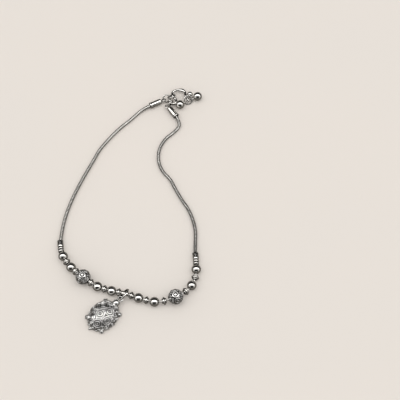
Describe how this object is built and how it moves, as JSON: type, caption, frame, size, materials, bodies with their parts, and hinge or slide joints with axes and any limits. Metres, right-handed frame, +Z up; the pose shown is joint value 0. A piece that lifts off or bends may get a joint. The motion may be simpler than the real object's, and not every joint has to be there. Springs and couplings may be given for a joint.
{
  "type": "payal anklet",
  "caption": "Silver ankle chain lying as an open loop, with a beaded front, filigree balls, a turtle charm and an S-hook clasp with ball drops.",
  "frame": {"origin": "middle of the footprint, on the surface that the anklet lies on", "axes": "+Y from the beads and the charm towards the clasp, +X to the right seen from the charm's side, +Z up"},
  "size_m": [0.0636, 0.12, 0.0065],
  "materials": {
    "polished_silver": "polished silver",
    "satin_silver": "satin silver",
    "oxidised_silver": "silver with darkened recesses",
    "chain_silver": "bright silver snake chain"
  },
  "bodies": {
    "root": {"chain_strand_left": "chain_silver", "chain_strand_right": "chain_silver", "end_tube_1": "satin_silver", "end_tube_2": "satin_silver", "ring_bead_1": "polished_silver", "ring_bead_2": "polished_silver", "ring_bead_3": "polished_silver", "ring_bead_4": "polished_silver", "bead_1": "polished_silver", "bead_2": "polished_silver", "bead_3": "polished_silver", "bead_4": "polished_silver", "bead_5": "polished_silver", "bead_6": "polished_silver", "bead_7": "polished_silver", "bead_8": "polished_silver", "spacer_1": "polished_silver", "spacer_2": "polished_silver", "spacer_3": "polished_silver", "spacer_4": "polished_silver", "spacer_5": "polished_silver", "spacer_6": "polished_silver", "spacer_7": "polished_silver", "spacer_8": "polished_silver", "spacer_9": "polished_silver", "spacer_10": "polished_silver", "filigree_1": "oxidised_silver", "filigree_2": "oxidised_silver", "charm_tube": "satin_silver", "bead_wire": "satin_silver", "clasp_tube_left": "satin_silver", "clasp_tube_right": "satin_silver", "clasp_ring_1": "satin_silver", "clasp_ring_2": "satin_silver", "clasp_ring_3": "satin_silver", "s_hook": "polished_silver", "drop_ring": "satin_silver", "ball_drop_1": "polished_silver", "ball_drop_2": "polished_silver", "ball_drop_3": "polished_silver", "charm_jump_ring": "polished_silver", "turtle_charm": "oxidised_silver"}
  },
  "joints": []
}
